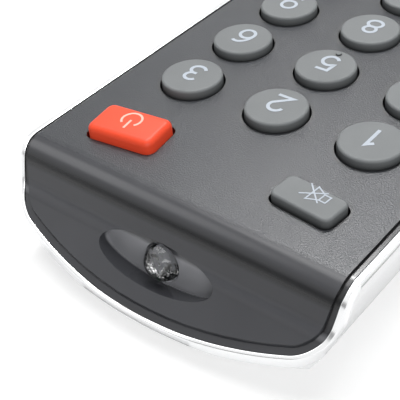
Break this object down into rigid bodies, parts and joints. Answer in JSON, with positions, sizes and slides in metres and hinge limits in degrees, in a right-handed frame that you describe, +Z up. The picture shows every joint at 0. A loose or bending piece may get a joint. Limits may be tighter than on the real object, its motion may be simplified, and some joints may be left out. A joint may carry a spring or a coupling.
{
  "type": "tv remote control",
  "caption": "Handheld television remote control: charcoal face with round rubber keys, bright trim, silver back, sliding battery cover and an infrared lamp in the sloped nose.",
  "frame": {"origin": "on the table, under the middle of the case (bottom centre of the bounding box)", "axes": "+Y along the case to the nose with the infrared lamp, +X to the user's right when the digits read upright, +Z up, square to the key face"},
  "size_m": [0.05, 0.19, 0.016],
  "materials": {
    "charcoal_face": "fine matt grain, charcoal grey",
    "chrome_trim": "bright plated plastic",
    "silver_case": "satin silver paint on plastic",
    "grey_rubber": "matt moulded silicone",
    "key_grey": "matt silicone with pale printed legend",
    "power_red": "matt red silicone with pale printed legend",
    "key_red": "matt red silicone",
    "key_green": "matt green silicone",
    "key_yellow": "matt yellow silicone",
    "key_blue": "matt blue silicone",
    "board": "green solder mask",
    "clear_lamp": "clear moulded resin",
    "black_plastic": "moulded black",
    "resonator_ceramic": "dipped orange-brown coating",
    "capacitor_can": "sleeved can",
    "battery_can": "plain printed sleeve, bare ends",
    "contact_steel": "nickel plated spring steel",
    "screw_steel": "zinc plated"
  },
  "bodies": {
    "case": {"top_shell": "charcoal_face", "chrome_trim": "chrome_trim", "bottom_shell": "silver_case", "keypad_sheet": "grey_rubber", "circuit_board": "board", "infrared_lamp": "clear_lamp", "controller_chip": "black_plastic", "ceramic_resonator": "resonator_ceramic", "filter_capacitor": "capacitor_can", "driver_transistor": "black_plastic", "chip_resistors": "black_plastic", "battery_a": "battery_can", "battery_b": "battery_can", "positive_contact": "contact_steel", "negative_contact": "contact_steel", "link_contact": "contact_steel", "case_screws": "screw_steel"},
    "battery_cover": {"battery_cover": "silver_case"},
    "power_key": {"power_key": "power_red"},
    "mute_key": {"mute_key": "key_grey"},
    "digit_1_key": {"digit_1_key": "key_grey"},
    "digit_2_key": {"digit_2_key": "key_grey"},
    "digit_3_key": {"digit_3_key": "key_grey"},
    "digit_4_key": {"digit_4_key": "key_grey"},
    "digit_5_key": {"digit_5_key": "key_grey"},
    "digit_6_key": {"digit_6_key": "key_grey"},
    "digit_7_key": {"digit_7_key": "key_grey"},
    "digit_8_key": {"digit_8_key": "key_grey"},
    "digit_9_key": {"digit_9_key": "key_grey"},
    "digit_0_key": {"digit_0_key": "key_grey"},
    "info_key": {"info_key": "key_grey"},
    "source_key": {"source_key": "key_grey"},
    "volume_up_key": {"volume_up_key": "key_grey"},
    "volume_down_key": {"volume_down_key": "key_grey"},
    "list_key": {"list_key": "key_grey"},
    "picture_key": {"picture_key": "key_grey"},
    "channel_up_key": {"channel_up_key": "key_grey"},
    "channel_down_key": {"channel_down_key": "key_grey"},
    "ok_key": {"ok_key": "key_grey"},
    "right_key": {"right_key": "key_grey"},
    "up_key": {"up_key": "key_grey"},
    "left_key": {"left_key": "key_grey"},
    "down_key": {"down_key": "key_grey"},
    "menu_key": {"menu_key": "key_grey"},
    "home_key": {"home_key": "key_grey"},
    "back_key": {"back_key": "key_grey"},
    "exit_key": {"exit_key": "key_grey"},
    "red_key": {"red_key": "key_red"},
    "green_key": {"green_key": "key_green"},
    "yellow_key": {"yellow_key": "key_yellow"},
    "blue_key": {"blue_key": "key_blue"}
  },
  "joints": [
    {"name": "cover_slide", "type": "slide", "parent": "case", "child": "battery_cover", "axis": [0, -1, 0], "range_m": [0, 0.048]},
    {"name": "power_press", "type": "slide", "parent": "case", "child": "power_key", "axis": [0, 0, -1], "range_m": [0, 0.00075], "stiffness_N_per_m": 1200},
    {"name": "mute_press", "type": "slide", "parent": "case", "child": "mute_key", "axis": [0, 0, -1], "range_m": [0, 0.00075], "stiffness_N_per_m": 1200},
    {"name": "digit_1_press", "type": "slide", "parent": "case", "child": "digit_1_key", "axis": [0, 0, -1], "range_m": [0, 0.00075], "stiffness_N_per_m": 1200},
    {"name": "digit_2_press", "type": "slide", "parent": "case", "child": "digit_2_key", "axis": [0, 0, -1], "range_m": [0, 0.00075], "stiffness_N_per_m": 1200},
    {"name": "digit_3_press", "type": "slide", "parent": "case", "child": "digit_3_key", "axis": [0, 0, -1], "range_m": [0, 0.00075], "stiffness_N_per_m": 1200},
    {"name": "digit_4_press", "type": "slide", "parent": "case", "child": "digit_4_key", "axis": [0, 0, -1], "range_m": [0, 0.00075], "stiffness_N_per_m": 1200},
    {"name": "digit_5_press", "type": "slide", "parent": "case", "child": "digit_5_key", "axis": [0, 0, -1], "range_m": [0, 0.00075], "stiffness_N_per_m": 1200},
    {"name": "digit_6_press", "type": "slide", "parent": "case", "child": "digit_6_key", "axis": [0, 0, -1], "range_m": [0, 0.00075], "stiffness_N_per_m": 1200},
    {"name": "digit_7_press", "type": "slide", "parent": "case", "child": "digit_7_key", "axis": [0, 0, -1], "range_m": [0, 0.00075], "stiffness_N_per_m": 1200},
    {"name": "digit_8_press", "type": "slide", "parent": "case", "child": "digit_8_key", "axis": [0, 0, -1], "range_m": [0, 0.00075], "stiffness_N_per_m": 1200},
    {"name": "digit_9_press", "type": "slide", "parent": "case", "child": "digit_9_key", "axis": [0, 0, -1], "range_m": [0, 0.00075], "stiffness_N_per_m": 1200},
    {"name": "digit_0_press", "type": "slide", "parent": "case", "child": "digit_0_key", "axis": [0, 0, -1], "range_m": [0, 0.00075], "stiffness_N_per_m": 1200},
    {"name": "info_press", "type": "slide", "parent": "case", "child": "info_key", "axis": [0, 0, -1], "range_m": [0, 0.00075], "stiffness_N_per_m": 1200},
    {"name": "source_press", "type": "slide", "parent": "case", "child": "source_key", "axis": [0, 0, -1], "range_m": [0, 0.00075], "stiffness_N_per_m": 1200},
    {"name": "volume_up_press", "type": "slide", "parent": "case", "child": "volume_up_key", "axis": [0, 0, -1], "range_m": [0, 0.00075], "stiffness_N_per_m": 1200},
    {"name": "volume_down_press", "type": "slide", "parent": "case", "child": "volume_down_key", "axis": [0, 0, -1], "range_m": [0, 0.00075], "stiffness_N_per_m": 1200},
    {"name": "list_press", "type": "slide", "parent": "case", "child": "list_key", "axis": [0, 0, -1], "range_m": [0, 0.00075], "stiffness_N_per_m": 1200},
    {"name": "picture_press", "type": "slide", "parent": "case", "child": "picture_key", "axis": [0, 0, -1], "range_m": [0, 0.00075], "stiffness_N_per_m": 1200},
    {"name": "channel_up_press", "type": "slide", "parent": "case", "child": "channel_up_key", "axis": [0, 0, -1], "range_m": [0, 0.00075], "stiffness_N_per_m": 1200},
    {"name": "channel_down_press", "type": "slide", "parent": "case", "child": "channel_down_key", "axis": [0, 0, -1], "range_m": [0, 0.00075], "stiffness_N_per_m": 1200},
    {"name": "ok_press", "type": "slide", "parent": "case", "child": "ok_key", "axis": [0, 0, -1], "range_m": [0, 0.00075], "stiffness_N_per_m": 1200},
    {"name": "right_press", "type": "slide", "parent": "case", "child": "right_key", "axis": [0, 0, -1], "range_m": [0, 0.00075], "stiffness_N_per_m": 1200},
    {"name": "up_press", "type": "slide", "parent": "case", "child": "up_key", "axis": [0, 0, -1], "range_m": [0, 0.00075], "stiffness_N_per_m": 1200},
    {"name": "left_press", "type": "slide", "parent": "case", "child": "left_key", "axis": [0, 0, -1], "range_m": [0, 0.00075], "stiffness_N_per_m": 1200},
    {"name": "down_press", "type": "slide", "parent": "case", "child": "down_key", "axis": [0, 0, -1], "range_m": [0, 0.00075], "stiffness_N_per_m": 1200},
    {"name": "menu_press", "type": "slide", "parent": "case", "child": "menu_key", "axis": [0, 0, -1], "range_m": [0, 0.00075], "stiffness_N_per_m": 1200},
    {"name": "home_press", "type": "slide", "parent": "case", "child": "home_key", "axis": [0, 0, -1], "range_m": [0, 0.00075], "stiffness_N_per_m": 1200},
    {"name": "back_press", "type": "slide", "parent": "case", "child": "back_key", "axis": [0, 0, -1], "range_m": [0, 0.00075], "stiffness_N_per_m": 1200},
    {"name": "exit_press", "type": "slide", "parent": "case", "child": "exit_key", "axis": [0, 0, -1], "range_m": [0, 0.00075], "stiffness_N_per_m": 1200},
    {"name": "red_press", "type": "slide", "parent": "case", "child": "red_key", "axis": [0, 0, -1], "range_m": [0, 0.00075], "stiffness_N_per_m": 1200},
    {"name": "green_press", "type": "slide", "parent": "case", "child": "green_key", "axis": [0, 0, -1], "range_m": [0, 0.00075], "stiffness_N_per_m": 1200},
    {"name": "yellow_press", "type": "slide", "parent": "case", "child": "yellow_key", "axis": [0, 0, -1], "range_m": [0, 0.00075], "stiffness_N_per_m": 1200},
    {"name": "blue_press", "type": "slide", "parent": "case", "child": "blue_key", "axis": [0, 0, -1], "range_m": [0, 0.00075], "stiffness_N_per_m": 1200}
  ]
}
